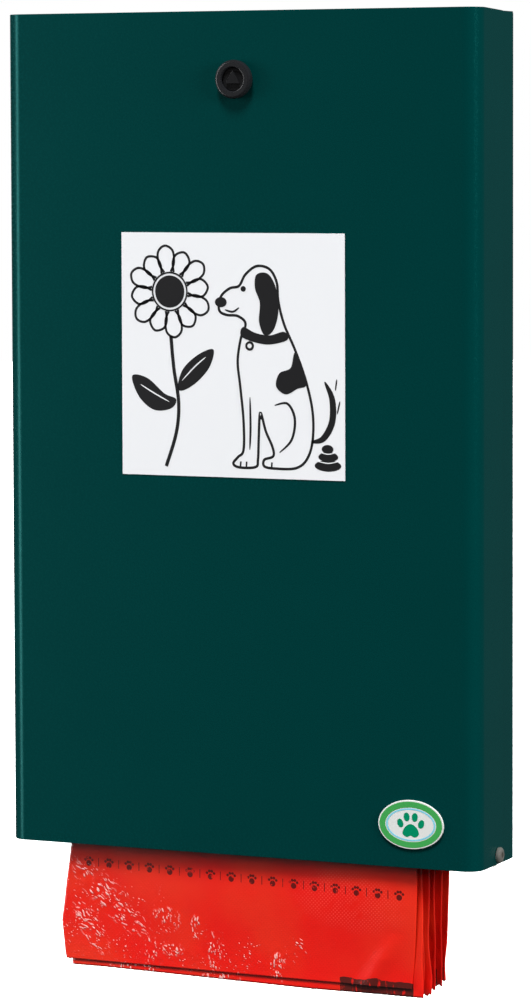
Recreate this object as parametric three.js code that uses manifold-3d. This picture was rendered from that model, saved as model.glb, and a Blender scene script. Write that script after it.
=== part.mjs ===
// A wall-mounted dispenser for dog waste bags: a folded sheet tray on the wall, a folded cover
// that tilts forward on two low pivot screws, a quarter-turn lock behind the tray's top lip, and
// packs of film bags that hang on two hooks and reach out of the open bottom.
//
// Frame, in millimetres: the origin is the centre of the tray's rear face, on the wall. +Z is up,
// the front looks along -Y, and +X is to the right as seen from the front.

import * as THREE from 'three';
import { mergeVertices } from 'three/addons/utils/BufferGeometryUtils.js';
import Module from 'manifold-3d';

const wasm = await Module();
wasm.setup();

// ---------------------------------------------------------------- driving dimensions

// cover
const COVER_WIDTH = 275;
const COVER_HEIGHT = 450;
const CASE_DEPTH = 59;          // wall to the cover's front face
const COVER_SIDE_DEPTH = 36;    // front face to the rear edge of the cover's side walls
const COVER_SHEET = 1.5;
const COVER_BEND = 9.4;         // outer radius of the two front bends
const COVER_FOOT_RADIUS = 5;    // rounded corner of the side walls, under the pivot
const COVER_TOP_DROP = 1;       // fall of the side walls' top edge towards the rear

// tray
const TRAY_SHEET = 1.5;
const TRAY_BEND = 2.5;
const TRAY_SIDE_BEHIND_FRONT = 13;  // tray's side walls end this far behind the cover's face
const TRAY_FOOT_RADIUS = 5;
const TRAY_SIDE_CLEARANCE = 0.75;   // tray side to the cover's inner face
const TRAY_TOP_DROP = 1;            // tray top below the cover's top edge
const TRAY_FOOT_DROP = 1;           // tray foot below the cover's bottom edge
const LIP_DROP = 19;                // height of the lip that the lock's cam closes behind
const LIP_CLEARANCE = 1.2;          // lip to the cover's inner face
const LIP_END_CLEARANCE = 3;        // lip end to the start of the cover's bend
const WALL_HOLE_RADIUS = 3.5;
const WALL_HOLE_SPACING_X = 160;
const WALL_HOLE_EDGE = 36;          // wall hole to the tray's top or foot edge

// pivots
const PIVOT_FROM_REAR_EDGE = 7;     // pivot to the rear edge of the cover's side walls
const PIVOT_ABOVE_EDGE = 5;         // pivot to the cover's bottom edge
const SCREW_RADIUS = 2.5;
const SCREW_HEAD_RADIUS = 4.2;
const SCREW_HEAD_HEIGHT = 2.2;
const SCREW_SOCKET_FLATS = 3;
const SCREW_SOCKET_DEPTH = 1.4;
const SCREW_TIP = 1.5;              // thread past the nut
const BUSH_WALL = 1.2;
const BUSH_FLANGE_RADIUS = 6.5;
const BUSH_FLANGE = 0.45;
const WASHER_RADIUS = 5;
const WASHER_THICKNESS = 1;
const NUT_FLATS = 8;
const NUT_HEIGHT = 4.5;
const RUNNING_CLEARANCE = 0.1;
const SEAT_GAP = 0.15;              // faces that rest on each other

// lock
const LOCK_BELOW_TOP = 36.2;
const LOCK_FLANGE_RADIUS = 10.3;
const LOCK_FLANGE_HEIGHT = 3.5;
const LOCK_BEVEL = 1.5;
const LOCK_BODY_RADIUS = 9;
const LOCK_BODY_END = 4.9;          // front face to the body's rear end
const LOCK_HOLE_CLEARANCE = 0.25;
const LOCK_RECESS_RADIUS = 6.3;
const LOCK_RECESS_FLOOR = 1.3;      // recess step in front of the cover's face
const GASKET_THICKNESS = 0.6;
const GASKET_INSET = 0.3;
const LOCK_NUT_FLATS = 24;
const LOCK_NUT_HEIGHT = 2.8;
const SPINDLE_RADIUS = 4.85;
const SPINDLE_COLLAR = 1.1;
const KEY_SIDE = 7.7;               // side of the male triangle
const KEY_HEIGHT = 1.5;
const DRIVE_FLATS = 6.6;            // square end that carries the cam
const CAM_THICKNESS = 3;
const CAM_REACH = 28;
const CAM_WIDTH = 16;
const CAM_WASHER_RADIUS = 5.5;
const CAM_SCREW_RADIUS = 2;
const CAM_SCREW_HEAD_RADIUS = 3.8;
const CAM_SCREW_HEAD_HEIGHT = 3;
const CAM_SCREW_DEPTH = 5;

// stickers
const LABEL_SIDE = 130;
const LABEL_CENTRE = [-2.2, 42.7];
const BADGE_WIDTH = 37;
const BADGE_HEIGHT = 26;
const BADGE_FROM_SIDE = 37.5;
const BADGE_ABOVE_EDGE = 23.2;
const BADGE_THICKNESS = 1;
const STICKER_THICKNESS = 0.3;
const STICKER_GAP = 0.05;

// bags
const PACK_COUNT = 5;
const BAG_WIDTH = 204;
const BAG_OVERHANG = 72;            // bag ends below the cover
const FILM_THICKNESS = 2.2;         // one pack's film pressed flat
const REAR_PACK_FROM_WALL = 8.4;
const FRONT_BAG_THICKNESS = 0.8;
const FRONT_BAG_GAP = 0.4;
const FRONT_BAG_SHORTER = 4;
const FRONT_SLOT = 5;               // front bag to the cover's inner face
const HEADER_BELOW_LOCK = 65.8;     // lock's axis to the headers' top edge
const HEADER_HEIGHT = 40;
const HEADER_CARD = 0.8;
const HEADER_SLOT_CLEARANCE = 0.2;
const HEADER_HOLE_RADIUS = 4.6;
const HEADER_HOLE_BELOW_TOP = 16;
const HEADER_HANG_GAP = 0.3;        // top of the punched hole above the hook

// hooks
const HOOK_RADIUS = 3;
const HOOK_SPACING = 140;
const HOOK_FLANGE_RADIUS = 5.5;
const HOOK_FLANGE = 1.6;
const HOOK_RIVET_RADIUS = 2.5;
const HOOK_RIVET_HEAD_RADIUS = 3.6;
const HOOK_FRONT_CLEARANCE = 2.6;   // hook tip to the cover's inner face

// ---------------------------------------------------------------- derived places

const FRONT_Y = -CASE_DEPTH;
const COVER_INNER_Y = FRONT_Y + COVER_SHEET;
const COVER_TOP = COVER_HEIGHT / 2;
const COVER_BOTTOM = -COVER_HEIGHT / 2;
const COVER_REAR_Y = FRONT_Y + COVER_SIDE_DEPTH;
const COVER_INNER_X = COVER_WIDTH / 2 - COVER_SHEET;
const TRAY_OUTER_X = COVER_INNER_X - TRAY_SIDE_CLEARANCE;
const TRAY_INNER_X = TRAY_OUTER_X - TRAY_SHEET;
const TRAY_TOP = COVER_TOP - TRAY_TOP_DROP;
const TRAY_BOTTOM = COVER_BOTTOM - TRAY_FOOT_DROP;
const LIP_FRONT_Y = COVER_INNER_Y + LIP_CLEARANCE;
const LIP_HALF_WIDTH = COVER_WIDTH / 2 - COVER_BEND - LIP_END_CLEARANCE;
const TRAY_SIDE_DEPTH = CASE_DEPTH - TRAY_SIDE_BEHIND_FRONT;
const PIVOT_Y = COVER_REAR_Y - PIVOT_FROM_REAR_EDGE;
const PIVOT_Z = COVER_BOTTOM + PIVOT_ABOVE_EDGE;
const LOCK_Z = COVER_TOP - LOCK_BELOW_TOP;
const BUSH_RADIUS = SCREW_RADIUS + RUNNING_CLEARANCE + BUSH_WALL;
const FRONT_BAG_FACE_Y = COVER_INNER_Y + FRONT_SLOT;
const FRONT_PACK_Y = FRONT_BAG_FACE_Y + FRONT_BAG_THICKNESS + FRONT_BAG_GAP + FILM_THICKNESS / 2;
const PACK_PITCH = (-REAR_PACK_FROM_WALL - FRONT_PACK_Y) / (PACK_COUNT - 1);
const BAG_END_Z = COVER_BOTTOM - BAG_OVERHANG;
const HEADER_TOP_Z = LOCK_Z - HEADER_BELOW_LOCK;
const HEADER_BOTTOM_Z = HEADER_TOP_Z - HEADER_HEIGHT;
const HOLE_Z = HEADER_TOP_Z - HEADER_HOLE_BELOW_TOP;
const HOOK_Z = HOLE_Z + HEADER_HOLE_RADIUS - HOOK_RADIUS - HEADER_HANG_GAP;

const ROUND = 40;       // sides of large round pieces
const SMALL_ROUND = 20; // sides of small round pieces
const BEND_STEPS = 12;  // facets in a large bend
const OVERRUN = 2;      // how far a cutter reaches past what it cuts

// ---------------------------------------------------------------- shape helpers

const AXES = {
  x: [new THREE.Vector3(0, 1, 0), new THREE.Vector3(0, 0, 1), new THREE.Vector3(1, 0, 0)],
  y: [new THREE.Vector3(1, 0, 0), new THREE.Vector3(0, 0, 1), new THREE.Vector3(0, -1, 0)],
  z: [new THREE.Vector3(1, 0, 0), new THREE.Vector3(0, 1, 0), new THREE.Vector3(0, 0, 1)],
};

// Extrudes a flat outline between two places on an axis. An outline for x is drawn in (y, z),
// for y in (x, z) and for z in (x, y).
function prism(axis, outline, from, to, curveSegments = BEND_STEPS) {
  const depth = to - from;
  const geometry = new THREE.ExtrudeGeometry(outline, { depth, bevelEnabled: false, curveSegments });
  const start = axis === 'y' ? -to : from;
  geometry.translate(0, 0, start);
  geometry.applyMatrix4(new THREE.Matrix4().makeBasis(...AXES[axis]));
  return geometry;
}

function outlineOf(points) {
  return new THREE.Shape(points.map(([u, v]) => new THREE.Vector2(u, v)));
}

function rectangle(u0, v0, u1, v1) {
  return outlineOf([[u0, v0], [u1, v0], [u1, v1], [u0, v1]]);
}

function polygon(sides, acrossFlats, turn = 0) {
  const radius = acrossFlats / 2 / Math.cos(Math.PI / sides);
  const corners = [];
  for (let i = 0; i < sides; i += 1) {
    const angle = turn + (2 * Math.PI * i) / sides;
    corners.push([radius * Math.cos(angle), radius * Math.sin(angle)]);
  }
  return outlineOf(corners);
}

// Outline of a sheet strip folded at right angles, always to the same side. `corners` runs along
// the strip's outer face, `radius` is the outer bend radius.
function foldedStrip(corners, thickness, radius, steps) {
  const path = corners.map(([u, v]) => new THREE.Vector2(u, v));
  const heading = path.slice(1).map((end, i) => end.clone().sub(path[i]).normalize());
  const outer = [path[0]];
  const inner = [path[0].clone().addScaledVector(heading[1], thickness)];
  for (let i = 1; i < path.length - 1; i += 1) {
    const before = heading[i - 1];
    const after = heading[i];
    const centre = path[i].clone().addScaledVector(before, -radius).addScaledVector(after, radius);
    for (let step = 0; step <= steps; step += 1) {
      const angle = (Math.PI / 2) * (step / steps);
      const spoke = before.clone().multiplyScalar(Math.sin(angle));
      spoke.addScaledVector(after, -Math.cos(angle));
      outer.push(centre.clone().addScaledVector(spoke, radius));
      inner.push(centre.clone().addScaledVector(spoke, radius - thickness));
    }
  }
  const last = path[path.length - 1];
  outer.push(last);
  inner.push(last.clone().addScaledVector(heading[heading.length - 2], -thickness));
  return new THREE.Shape([...outer, ...inner.reverse()]);
}

// Turns a profile of [radius, y] pairs about the Y axis. The outer edge runs towards +Y.
function revolve(profile, sides = ROUND) {
  return new THREE.LatheGeometry(profile.map(([r, y]) => new THREE.Vector2(r, y)), sides);
}

// A ring or sleeve between two radii, its axis along Y.
function ring(innerRadius, outerRadius, from, to, sides = SMALL_ROUND) {
  const profile = [[innerRadius, from], [outerRadius, from], [outerRadius, to], [innerRadius, to]];
  return revolve([...profile, profile[0]], sides);
}

function rod(radius, from, to, sides = SMALL_ROUND) {
  return revolve([[0, from], [radius, from], [radius, to], [0, to]], sides);
}

// Turns a piece made along Y so that its +Y points along +X.
function layAlongX(geometry) {
  return geometry.rotateZ(-Math.PI / 2);
}

function toSolid(geometry) {
  const bare = geometry.clone();
  bare.deleteAttribute('normal');
  bare.deleteAttribute('uv');
  const merged = mergeVertices(bare);
  const vertProperties = new Float32Array(merged.attributes.position.array);
  const triVerts = new Uint32Array(merged.index.array);
  return new wasm.Manifold(new wasm.Mesh({ numProp: 3, vertProperties, triVerts }));
}

function toGeometry(solid) {
  const mesh = solid.getMesh();
  const geometry = new THREE.BufferGeometry();
  geometry.setAttribute('position', new THREE.BufferAttribute(mesh.vertProperties, 3));
  geometry.setIndex(new THREE.BufferAttribute(mesh.triVerts, 1));
  geometry.computeVertexNormals();
  return geometry;
}

function cut(body, ...cutters) {
  let solid = toSolid(body);
  for (const cutter of cutters) {
    solid = solid.subtract(toSolid(cutter));
  }
  return toGeometry(solid);
}

function join(body, ...additions) {
  let solid = toSolid(body);
  for (const addition of additions) {
    solid = solid.add(toSolid(addition));
  }
  return toGeometry(solid);
}

function common(body, limit) {
  return toGeometry(toSolid(body).intersect(toSolid(limit)));
}

function finish(color, roughness, metalness) {
  return new THREE.MeshStandardMaterial({ color, roughness, metalness });
}

function addPiece(parent, name, geometry, material) {
  const mesh = new THREE.Mesh(geometry, material);
  mesh.name = name;
  parent.add(mesh);
  return mesh;
}

function addGroup(parent, x, y, z) {
  const group = new THREE.Group();
  group.position.set(x, y, z);
  parent.add(group);
  return group;
}

// ---------------------------------------------------------------- tray

function makeTray() {
  const wrap = foldedStrip(
    [[-TRAY_OUTER_X, -TRAY_SIDE_DEPTH], [-TRAY_OUTER_X, 0], [TRAY_OUTER_X, 0],
      [TRAY_OUTER_X, -TRAY_SIDE_DEPTH]], TRAY_SHEET, TRAY_BEND, 4);
  const walls = prism('z', wrap, TRAY_BOTTOM, TRAY_TOP - TRAY_SHEET / 2);
  const rounded = common(walls, prism('x', traySideOutline(), -COVER_WIDTH, COVER_WIDTH));
  const pieces = [makeTrayTop(), makeTrayLip()];
  return cut(join(rounded, ...pieces), ...makeTrayHoles());
}

// The side walls' outline, with the two foot corners rounded.
function traySideOutline() {
  const outline = new THREE.Shape();
  const rear = OVERRUN;
  const front = -TRAY_SIDE_DEPTH - OVERRUN;
  outline.moveTo(rear, TRAY_TOP + OVERRUN);
  outline.lineTo(front, TRAY_TOP + OVERRUN);
  outline.lineTo(front, TRAY_BOTTOM + TRAY_FOOT_RADIUS);
  outline.lineTo(-TRAY_SIDE_DEPTH, TRAY_BOTTOM + TRAY_FOOT_RADIUS);
  const centre = [-TRAY_SIDE_DEPTH + TRAY_FOOT_RADIUS, TRAY_BOTTOM + TRAY_FOOT_RADIUS];
  outline.absarc(...centre, TRAY_FOOT_RADIUS, Math.PI, 1.5 * Math.PI, false);
  outline.lineTo(rear, TRAY_BOTTOM);
  return outline;
}

// The closed top, with its front corners cut back to clear the cover's bends.
function makeTrayTop() {
  const shoulder = -TRAY_SIDE_DEPTH;
  const outline = outlineOf([
    [-TRAY_OUTER_X + TRAY_BEND, 0], [-TRAY_OUTER_X, -TRAY_BEND], [-TRAY_OUTER_X, shoulder],
    [-LIP_HALF_WIDTH, LIP_FRONT_Y], [LIP_HALF_WIDTH, LIP_FRONT_Y],
    [TRAY_OUTER_X, shoulder], [TRAY_OUTER_X, -TRAY_BEND], [TRAY_OUTER_X - TRAY_BEND, 0]]);
  return prism('z', outline, TRAY_TOP - TRAY_SHEET, TRAY_TOP);
}

function makeTrayLip() {
  const outline = rectangle(LIP_FRONT_Y, TRAY_TOP - LIP_DROP, LIP_FRONT_Y + TRAY_SHEET, TRAY_TOP);
  return prism('x', outline, -LIP_HALF_WIDTH, LIP_HALF_WIDTH);
}

function makeTrayHoles() {
  const cutters = [];
  const through = [-TRAY_SHEET - OVERRUN, OVERRUN];
  for (const side of [-1, 1]) {
    for (const z of [TRAY_TOP - WALL_HOLE_EDGE, TRAY_BOTTOM + WALL_HOLE_EDGE]) {
      const hole = rod(WALL_HOLE_RADIUS, ...through);
      cutters.push(hole.translate((side * WALL_HOLE_SPACING_X) / 2, 0, z));
    }
    const rivetHole = rod(HOOK_RIVET_RADIUS + RUNNING_CLEARANCE, ...through);
    cutters.push(rivetHole.translate((side * HOOK_SPACING) / 2, 0, HOOK_Z));
    cutters.push(rivetHead(RUNNING_CLEARANCE, OVERRUN).translate((side * HOOK_SPACING) / 2, 0, HOOK_Z));
    const pivotHole = layAlongX(rod(SCREW_RADIUS + RUNNING_CLEARANCE, -TRAY_BEND, TRAY_BEND));
    cutters.push(pivotHole.translate(side * TRAY_OUTER_X, PIVOT_Y, PIVOT_Z));
  }
  return cutters;
}

// The flush cone that a hook's riveted end fills in the tray's rear face. `grow` widens it for
// the countersink, and `past` carries it beyond the rear face.
function rivetHead(grow, past) {
  const depth = TRAY_SHEET - SEAT_GAP;
  const slope = (HOOK_RIVET_HEAD_RADIUS - HOOK_RIVET_RADIUS) / depth;
  const wide = HOOK_RIVET_HEAD_RADIUS + grow + slope * past;
  return revolve([[0, -depth], [HOOK_RIVET_RADIUS + grow, -depth], [wide, past], [0, past]], SMALL_ROUND);
}

// ---------------------------------------------------------------- cover

function makeCover() {
  const half = COVER_WIDTH / 2;
  const wrap = foldedStrip(
    [[-half, COVER_REAR_Y], [-half, FRONT_Y], [half, FRONT_Y], [half, COVER_REAR_Y]],
    COVER_SHEET, COVER_BEND, BEND_STEPS);
  const sheet = prism('z', wrap, COVER_BOTTOM, COVER_TOP);
  const trimmed = common(sheet, prism('x', coverSideOutline(), -COVER_WIDTH, COVER_WIDTH));
  const lockHole = rod(LOCK_BODY_RADIUS + LOCK_HOLE_CLEARANCE, -OVERRUN, COVER_SHEET + OVERRUN, ROUND);
  const cutters = [lockHole.translate(0, FRONT_Y, LOCK_Z)];
  for (const side of [-1, 1]) {
    const pivotHole = layAlongX(rod(BUSH_RADIUS + RUNNING_CLEARANCE, -COVER_BEND, COVER_BEND));
    cutters.push(pivotHole.translate(side * half, PIVOT_Y, PIVOT_Z));
  }
  return cut(trimmed, ...cutters);
}

// The cover seen from the side: the rear foot corner is rounded and the top falls to the rear.
function coverSideOutline() {
  const outline = new THREE.Shape();
  const front = FRONT_Y - OVERRUN;
  outline.moveTo(front, COVER_BOTTOM);
  outline.lineTo(COVER_REAR_Y - COVER_FOOT_RADIUS, COVER_BOTTOM);
  const centre = [COVER_REAR_Y - COVER_FOOT_RADIUS, COVER_BOTTOM + COVER_FOOT_RADIUS];
  outline.absarc(...centre, COVER_FOOT_RADIUS, 1.5 * Math.PI, 2 * Math.PI, false);
  outline.lineTo(COVER_REAR_Y, COVER_TOP - COVER_TOP_DROP);
  outline.lineTo(FRONT_Y + COVER_BEND, COVER_TOP);
  outline.lineTo(front, COVER_TOP);
  return outline;
}

// ---------------------------------------------------------------- pivots

// Pieces of one pivot, made for the right side. The group's origin is on the cover's outer face
// and +X points outwards.
function addPivot(parent, name, side) {
  const group = addGroup(parent, (side * COVER_WIDTH) / 2, PIVOT_Y, PIVOT_Z);
  group.rotation.z = side > 0 ? 0 : Math.PI;
  const trayInner = TRAY_INNER_X - COVER_WIDTH / 2;
  const washerFace = trayInner - SEAT_GAP;
  const nutFace = washerFace - WASHER_THICKNESS - SEAT_GAP;
  const tip = nutFace - NUT_HEIGHT - SCREW_TIP;
  const bore = SCREW_RADIUS + RUNNING_CLEARANCE;
  addPiece(group, `pivot_screw_${name}`, layAlongX(makePivotScrew(tip)), stainless);
  addPiece(group, `pivot_bush_${name}`, layAlongX(makeBush(bore)), nylon);
  const washer = ring(bore, WASHER_RADIUS, washerFace - WASHER_THICKNESS, washerFace);
  addPiece(group, `pivot_washer_${name}`, layAlongX(washer), stainless);
  const nutBlank = prism('y', polygon(6, NUT_FLATS), nutFace - NUT_HEIGHT, nutFace);
  const nutBore = rod(bore, nutFace - NUT_HEIGHT - OVERRUN, nutFace + OVERRUN);
  addPiece(group, `pivot_nut_${name}`, layAlongX(cut(nutBlank, nutBore)), stainless);
}

// A button-head screw with a hexagon socket, its head's seat just off the cover's face.
function makePivotScrew(tip) {
  const seat = SEAT_GAP * 2;
  const top = seat + SCREW_HEAD_HEIGHT;
  const rim = seat + SCREW_HEAD_HEIGHT * 0.35;
  const profile = [[0, tip], [SCREW_RADIUS, tip], [SCREW_RADIUS, seat], [SCREW_HEAD_RADIUS, seat],
    [SCREW_HEAD_RADIUS, rim]];
  const domeSteps = 5;
  for (let step = 1; step <= domeSteps; step += 1) {
    const angle = (Math.PI / 2) * (step / domeSteps);
    const crown = 0.55 * SCREW_HEAD_RADIUS;
    const radius = crown + (SCREW_HEAD_RADIUS - crown) * Math.cos(angle);
    profile.push([radius, rim + (top - rim) * Math.sin(angle)]);
  }
  profile.push([0, top]);
  const socket = prism('y', polygon(6, SCREW_SOCKET_FLATS), top - SCREW_SOCKET_DEPTH, top + OVERRUN);
  return cut(revolve(profile, SMALL_ROUND), socket);
}

// A nylon bush in the cover's hole, with its thin flange between the cover and the tray.
function makeBush(bore) {
  const face = -SEAT_GAP;
  const inner = -COVER_SHEET - SEAT_GAP;
  const profile = [[bore, inner - BUSH_FLANGE], [BUSH_FLANGE_RADIUS, inner - BUSH_FLANGE],
    [BUSH_FLANGE_RADIUS, inner], [BUSH_RADIUS, inner], [BUSH_RADIUS, face], [bore, face]];
  return revolve([...profile, profile[0]], SMALL_ROUND);
}

// ---------------------------------------------------------------- lock

// Pieces of the lock. The group's origin is on the cover's front face, +Y points into the case.
function addLock(parent) {
  const group = addGroup(parent, 0, FRONT_Y, LOCK_Z);
  const camFront = LOCK_BODY_END + 2 * SEAT_GAP;
  const camRear = camFront + CAM_THICKNESS;
  addPiece(group, 'lock_housing', makeLockHousing(), blackLacquer);
  const gasketRear = -SEAT_GAP / 3;
  const gasket = ring(LOCK_BODY_RADIUS + RUNNING_CLEARANCE, LOCK_FLANGE_RADIUS - GASKET_INSET,
    gasketRear - GASKET_THICKNESS, gasketRear, ROUND);
  addPiece(group, 'lock_gasket', gasket, rubber);
  addPiece(group, 'lock_nut', makeLockNut(), zinc);
  addPiece(group, 'lock_spindle', makeSpindle(camFront, camRear), blackLacquer);
  addPiece(group, 'lock_cam', makeCam(camFront, camRear), zinc);
  addCamScrew(group, camRear);
}

function makeLockHousing() {
  const rear = -GASKET_THICKNESS - SEAT_GAP;
  const front = rear - LOCK_FLANGE_HEIGHT;
  const bore = SPINDLE_RADIUS + RUNNING_CLEARANCE;
  const lip = LOCK_RECESS_RADIUS + 0.4;
  const profile = [[bore, LOCK_BODY_END], [bore, -LOCK_RECESS_FLOOR],
    [LOCK_RECESS_RADIUS, -LOCK_RECESS_FLOOR], [LOCK_RECESS_RADIUS, front + 0.5], [lip, front]];
  const bevelSteps = 4;
  for (let step = 0; step <= bevelSteps; step += 1) {
    const angle = (Math.PI / 2) * (step / bevelSteps);
    const radius = LOCK_FLANGE_RADIUS - LOCK_BEVEL * (1 - Math.sin(angle));
    profile.push([radius, front + LOCK_BEVEL * (1 - Math.cos(angle))]);
  }
  profile.push([LOCK_FLANGE_RADIUS, rear], [LOCK_BODY_RADIUS, rear], [LOCK_BODY_RADIUS, LOCK_BODY_END]);
  return revolve([...profile, profile[0]], ROUND);
}

function makeLockNut() {
  const from = COVER_SHEET + SEAT_GAP;
  const blank = prism('y', polygon(6, LOCK_NUT_FLATS), from, from + LOCK_NUT_HEIGHT);
  const bore = rod(LOCK_BODY_RADIUS + RUNNING_CLEARANCE, from - OVERRUN, from + LOCK_NUT_HEIGHT + OVERRUN, ROUND);
  return cut(blank, bore);
}

// The turning core: a collar in the recess with the male triangle on it, a round shaft in the
// housing, and a square end with a threaded hole for the cam.
function makeSpindle(camFront, camRear) {
  const collarRear = -LOCK_RECESS_FLOOR - SEAT_GAP;
  const collarFront = collarRear - SPINDLE_COLLAR;
  const collarRadius = LOCK_RECESS_RADIUS - 2 * SEAT_GAP;
  const shaftEnd = camFront - SEAT_GAP;
  const core = revolve([[0, collarFront], [collarRadius, collarFront], [collarRadius, collarRear],
    [SPINDLE_RADIUS, collarRear], [SPINDLE_RADIUS, shaftEnd], [0, shaftEnd]]);
  const overlap = SPINDLE_COLLAR / 2;
  const triangle = polygon(3, KEY_SIDE / Math.sqrt(3), Math.PI / 2);
  const key = prism('y', triangle, collarFront - KEY_HEIGHT, collarFront + overlap);
  const driveEnd = camRear - SEAT_GAP;
  const drive = prism('y', polygon(4, DRIVE_FLATS, Math.PI / 4), shaftEnd - overlap, driveEnd);
  const tapped = rod(CAM_SCREW_RADIUS + RUNNING_CLEARANCE, driveEnd - CAM_SCREW_DEPTH - 1, driveEnd + OVERRUN);
  return cut(join(core, key, drive), tapped);
}

// The cam points sideways while the cover is free, and turns up behind the tray's lip.
function makeCam(camFront, camRear) {
  const half = CAM_WIDTH / 2;
  const outline = new THREE.Shape();
  outline.moveTo(0, half);
  outline.lineTo(-CAM_REACH + half, half);
  outline.absarc(-CAM_REACH + half, 0, half, Math.PI / 2, 1.5 * Math.PI, false);
  outline.lineTo(0, -half);
  outline.absarc(0, 0, half, -Math.PI / 2, Math.PI / 2, false);
  const hole = polygon(4, DRIVE_FLATS + 3 * RUNNING_CLEARANCE, Math.PI / 4);
  const cutter = prism('y', hole, camFront - OVERRUN, camRear + OVERRUN);
  return cut(prism('y', outline, camFront, camRear), cutter);
}

function addCamScrew(group, camRear) {
  const washerFront = camRear + SEAT_GAP;
  const washerRear = washerFront + WASHER_THICKNESS;
  const bore = CAM_SCREW_RADIUS + RUNNING_CLEARANCE;
  const washer = ring(bore, CAM_WASHER_RADIUS, washerFront, washerRear);
  addPiece(group, 'cam_washer', washer, zinc);
  const seat = washerRear + SEAT_GAP;
  const top = seat + CAM_SCREW_HEAD_HEIGHT;
  const tip = camRear - CAM_SCREW_DEPTH;
  const screw = revolve([[0, tip], [CAM_SCREW_RADIUS, tip], [CAM_SCREW_RADIUS, seat],
    [CAM_SCREW_HEAD_RADIUS, seat], [CAM_SCREW_HEAD_RADIUS, top], [0, top]], SMALL_ROUND);
  const socket = prism('y', polygon(6, SCREW_SOCKET_FLATS), top - SCREW_SOCKET_DEPTH, top + OVERRUN);
  addPiece(group, 'cam_screw', cut(screw, socket), zinc);
}

// ---------------------------------------------------------------- stickers

function addStickers(parent) {
  const half = LABEL_SIDE / 2;
  const label = addGroup(parent, LABEL_CENTRE[0], FRONT_Y - STICKER_GAP, LABEL_CENTRE[1]);
  const sheet = prism('y', rectangle(-half, -half, half, half), -STICKER_THICKNESS, 0);
  addPiece(label, 'pictogram_label', sheet, paperWhite);
  const badgeX = COVER_WIDTH / 2 - BADGE_FROM_SIDE;
  const badge = addGroup(parent, badgeX, FRONT_Y - STICKER_GAP, COVER_BOTTOM + BADGE_ABOVE_EDGE);
  const oval = new THREE.Shape();
  oval.absellipse(0, 0, BADGE_WIDTH / 2, BADGE_HEIGHT / 2, 0, 2 * Math.PI, false, 0);
  addPiece(badge, 'oval_badge', prism('y', oval, -BADGE_THICKNESS, 0, ROUND), badgeGreen);
}

// ---------------------------------------------------------------- hooks and bags

// A steel hook: riveted flush in the tray's back, with a flange in front and a rounded tip.
function makeHook() {
  const panel = -TRAY_SHEET;
  const flangeRear = panel - SEAT_GAP;
  const flangeFront = flangeRear - HOOK_FLANGE;
  const tip = COVER_INNER_Y + HOOK_FRONT_CLEARANCE;
  const profile = [[0, tip]];
  const tipSteps = 4;
  for (let step = 1; step <= tipSteps; step += 1) {
    const angle = (Math.PI / 2) * (step / tipSteps);
    profile.push([HOOK_RADIUS * Math.sin(angle), tip + HOOK_RADIUS * (1 - Math.cos(angle))]);
  }
  const depth = TRAY_SHEET - SEAT_GAP;
  profile.push([HOOK_RADIUS, flangeFront], [HOOK_FLANGE_RADIUS, flangeFront],
    [HOOK_FLANGE_RADIUS, flangeRear], [HOOK_RIVET_RADIUS, flangeRear],
    [HOOK_RIVET_RADIUS, -depth], [HOOK_RIVET_HEAD_RADIUS, 0], [0, 0]);
  return revolve(profile, SMALL_ROUND);
}

function addHooks(parent) {
  for (const [name, side] of [['left', -1], ['right', 1]]) {
    const place = addGroup(parent, (side * HOOK_SPACING) / 2, 0, HOOK_Z);
    addPiece(place, `bag_hook_${name}`, makeHook(), brightSteel);
  }
}

// Cutters for the two punched holes of a header, through `thickness`.
function headerHoles(thickness) {
  return [-1, 1].map((side) => {
    const hole = rod(HEADER_HOLE_RADIUS, -thickness, thickness);
    return hole.translate((side * HOOK_SPACING) / 2, 0, HOLE_Z);
  });
}

// One pack: a card folded over the top of its film, both punched for the hooks.
function addPack(parent, number) {
  const y = -REAR_PACK_FROM_WALL - (number - 1) * PACK_PITCH;
  const group = addGroup(parent, 0, y, 0);
  const slot = FILM_THICKNESS / 2 + HEADER_SLOT_CLEARANCE;
  const face = slot + HEADER_CARD;
  const half = BAG_WIDTH / 2;
  const card = foldedStrip(
    [[-face, HEADER_BOTTOM_Z], [-face, HEADER_TOP_Z], [face, HEADER_TOP_Z], [face, HEADER_BOTTOM_Z]],
    HEADER_CARD, HEADER_CARD * 1.5, 3);
  const header = cut(prism('x', card, -half, half), ...headerHoles(face + OVERRUN));
  addPiece(group, `header_card_${number}`, header, cardBrown);
  const filmTop = HEADER_TOP_Z - HEADER_CARD - 2 * SEAT_GAP;
  const flat = rectangle(-half, BAG_END_Z, half, filmTop);
  const film = prism('y', flat, -FILM_THICKNESS / 2, FILM_THICKNESS / 2);
  addPiece(group, `bag_film_${number}`, cut(film, ...headerHoles(face)), redFilm);
}

// The bag that is pulled next: it is perforated along the header's lower edge.
function addFrontBag(parent) {
  const half = BAG_WIDTH / 2;
  const top = HEADER_BOTTOM_Z - 1;
  const group = addGroup(parent, 0, FRONT_BAG_FACE_Y, 0);
  const flat = rectangle(-half, BAG_END_Z + FRONT_BAG_SHORTER, half, top);
  addPiece(group, 'front_bag', prism('y', flat, 0, FRONT_BAG_THICKNESS), redFilm);
}

// ---------------------------------------------------------------- materials and assembly

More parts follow.
